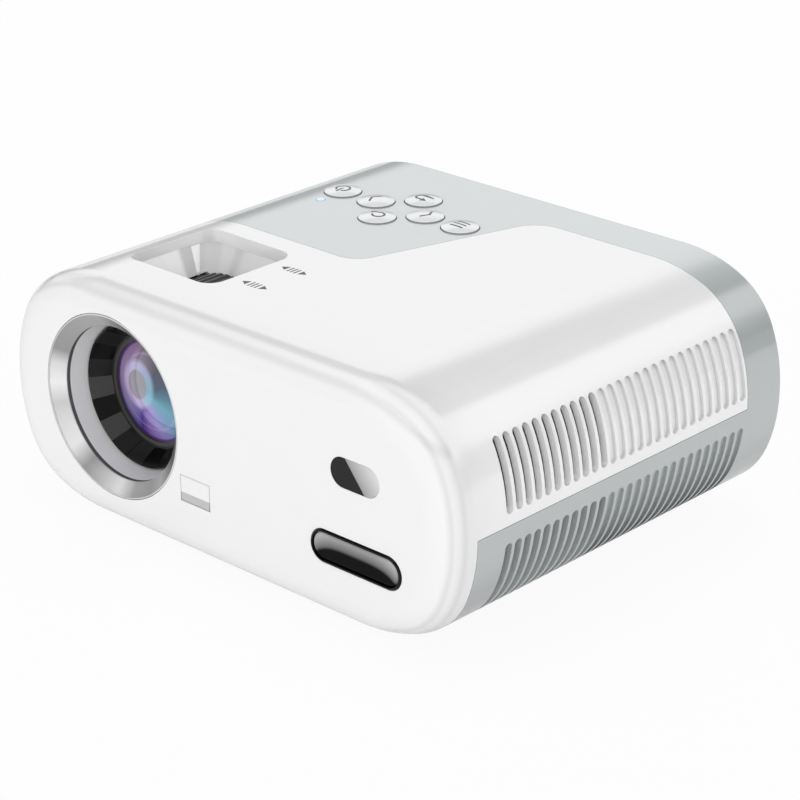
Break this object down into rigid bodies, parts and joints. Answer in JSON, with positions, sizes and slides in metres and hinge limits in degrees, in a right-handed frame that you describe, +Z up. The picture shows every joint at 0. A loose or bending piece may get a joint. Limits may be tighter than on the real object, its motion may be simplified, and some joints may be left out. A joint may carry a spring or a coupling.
{
  "type": "video projector",
  "caption": "Compact home projector with a rounded case, recessed lens, finger well with focus and keystone rings, keypad, side vents and rear sockets.",
  "frame": {"origin": "under the centre of the case, on the surface that the feet stand on", "axes": "+X to the right seen from the front, -Y the way the lens faces, +Z up"},
  "size_m": [0.2, 0.1595, 0.0869],
  "materials": {
    "white_plastic": "satin",
    "grey_plastic": "satin",
    "light_grey_plastic": "satin",
    "black_plastic": "satin",
    "matte_black_plastic": "matte",
    "button_plastic": "gloss",
    "chrome": "polished",
    "steel": "satin",
    "aluminium": "satin",
    "brass": "satin",
    "rubber": "matte",
    "lens_glass": "polished",
    "clear_plastic": "polished",
    "mirror": "polished",
    "smoked_plastic": "gloss",
    "blue_light": "gloss",
    "board": "satin",
    "chip": "matte",
    "phosphor": "gloss",
    "cone_paper": "matte"
  },
  "bodies": {
    "case": {"cover": "white_plastic", "housing": "grey_plastic", "case_screws": "steel", "rubber_feet": "rubber", "tripod_insert": "brass", "lens_bezel": "chrome", "bezel_gasket": "matte_black_plastic", "lens_shroud": "light_grey_plastic", "receiver_window": "smoked_plastic", "receiver": "chip", "name_plate_rim": "chrome", "name_plate": "black_plastic", "well_funnel": "white_plastic", "lens_mount": "matte_black_plastic", "ring_clips": "steel", "optical_housing": "matte_black_plastic", "optical_lid": "matte_black_plastic", "field_fresnel": "clear_plastic", "lcd_panel": "black_plastic", "rear_fresnel": "clear_plastic", "heat_glass": "clear_plastic", "condenser_lens": "clear_plastic", "led_board": "aluminium", "led_emitter": "phosphor", "heat_sink": "aluminium", "fan_frame": "matte_black_plastic", "key_board": "board", "key_switches": "chip", "status_light": "blue_light", "main_board": "board", "main_chips": "chip", "hdmi_socket": "steel", "usb_socket": "steel", "audio_jack": "black_plastic", "mains_inlet": "black_plastic", "power_board": "board", "power_parts": "chip", "speaker": "steel", "speaker_cone": "cone_paper", "small_screws": "steel"},
    "focus_ring": {"focus_ring": "matte_black_plastic"},
    "lens": {"lens_barrel": "matte_black_plastic", "lens_hood": "black_plastic", "glass_retainers": "black_plastic", "front_glass": "lens_glass", "glass_spacer": "black_plastic", "middle_glass": "lens_glass", "rear_glass": "lens_glass", "focus_pin": "steel"},
    "keystone_ring": {"keystone_ring": "matte_black_plastic"},
    "keystone_rod": {"keystone_rod": "steel"},
    "mirror": {"mirror_cradle": "matte_black_plastic", "fold_mirror": "mirror"},
    "fan": {"fan_rotor": "matte_black_plastic"},
    "power_button": {"power_button": "button_plastic"},
    "left_button": {"left_button": "button_plastic"},
    "right_button": {"right_button": "button_plastic"},
    "rear_button": {"rear_button": "button_plastic"},
    "front_button": {"front_button": "button_plastic"},
    "menu_button": {"menu_button": "button_plastic"}
  },
  "joints": [
    {"name": "focus_turn", "type": "hinge", "parent": "case", "child": "focus_ring", "pos_m": [-0.0473, -0.04625, 0.0458], "axis": [0, 1, 0], "range_deg": [-60, 60]},
    {"name": "lens_slide", "type": "slide", "parent": "case", "child": "lens", "axis": [0, -1, 0], "range_m": [-0.004, 0.004]},
    {"name": "keystone_turn", "type": "hinge", "parent": "case", "child": "keystone_ring", "pos_m": [-0.0473, -0.031, 0.0458], "axis": [0, 1, 0], "range_deg": [-30, 30]},
    {"name": "rod_slide", "type": "slide", "parent": "case", "child": "keystone_rod", "axis": [0, 1, 0], "range_m": [-0.0007, 0.0007]},
    {"name": "mirror_tilt", "type": "hinge", "parent": "case", "child": "mirror", "pos_m": [-0.0473, 0.024, 0.0458], "axis": [0.7071, 0.7071, 0], "range_deg": [-2, 2]},
    {"name": "fan_spin", "type": "hinge", "parent": "case", "child": "fan", "pos_m": [0.075, -0.032, 0.044], "axis": [1, 0, 0], "continuous": true},
    {"name": "power_press", "type": "slide", "parent": "case", "child": "power_button", "axis": [0, 0, -1], "range_m": [0, 0.0006], "stiffness_N_per_m": 500},
    {"name": "left_press", "type": "slide", "parent": "case", "child": "left_button", "axis": [0, 0, -1], "range_m": [0, 0.0006], "stiffness_N_per_m": 500},
    {"name": "right_press", "type": "slide", "parent": "case", "child": "right_button", "axis": [0, 0, -1], "range_m": [0, 0.0006], "stiffness_N_per_m": 500},
    {"name": "rear_press", "type": "slide", "parent": "case", "child": "rear_button", "axis": [0, 0, -1], "range_m": [0, 0.0006], "stiffness_N_per_m": 500},
    {"name": "front_press", "type": "slide", "parent": "case", "child": "front_button", "axis": [0, 0, -1], "range_m": [0, 0.0006], "stiffness_N_per_m": 500},
    {"name": "menu_press", "type": "slide", "parent": "case", "child": "menu_button", "axis": [0, 0, -1], "range_m": [0, 0.0006], "stiffness_N_per_m": 500}
  ],
  "couplings": [
    {"joint": "focus_turn", "follows": "lens_slide", "rad_per_m": 261.8},
    {"joint": "rod_slide", "follows": "keystone_turn", "m_per_rad": 0.0013294},
    {"joint": "mirror_tilt", "follows": "keystone_turn", "ratio": 0.066667}
  ]
}
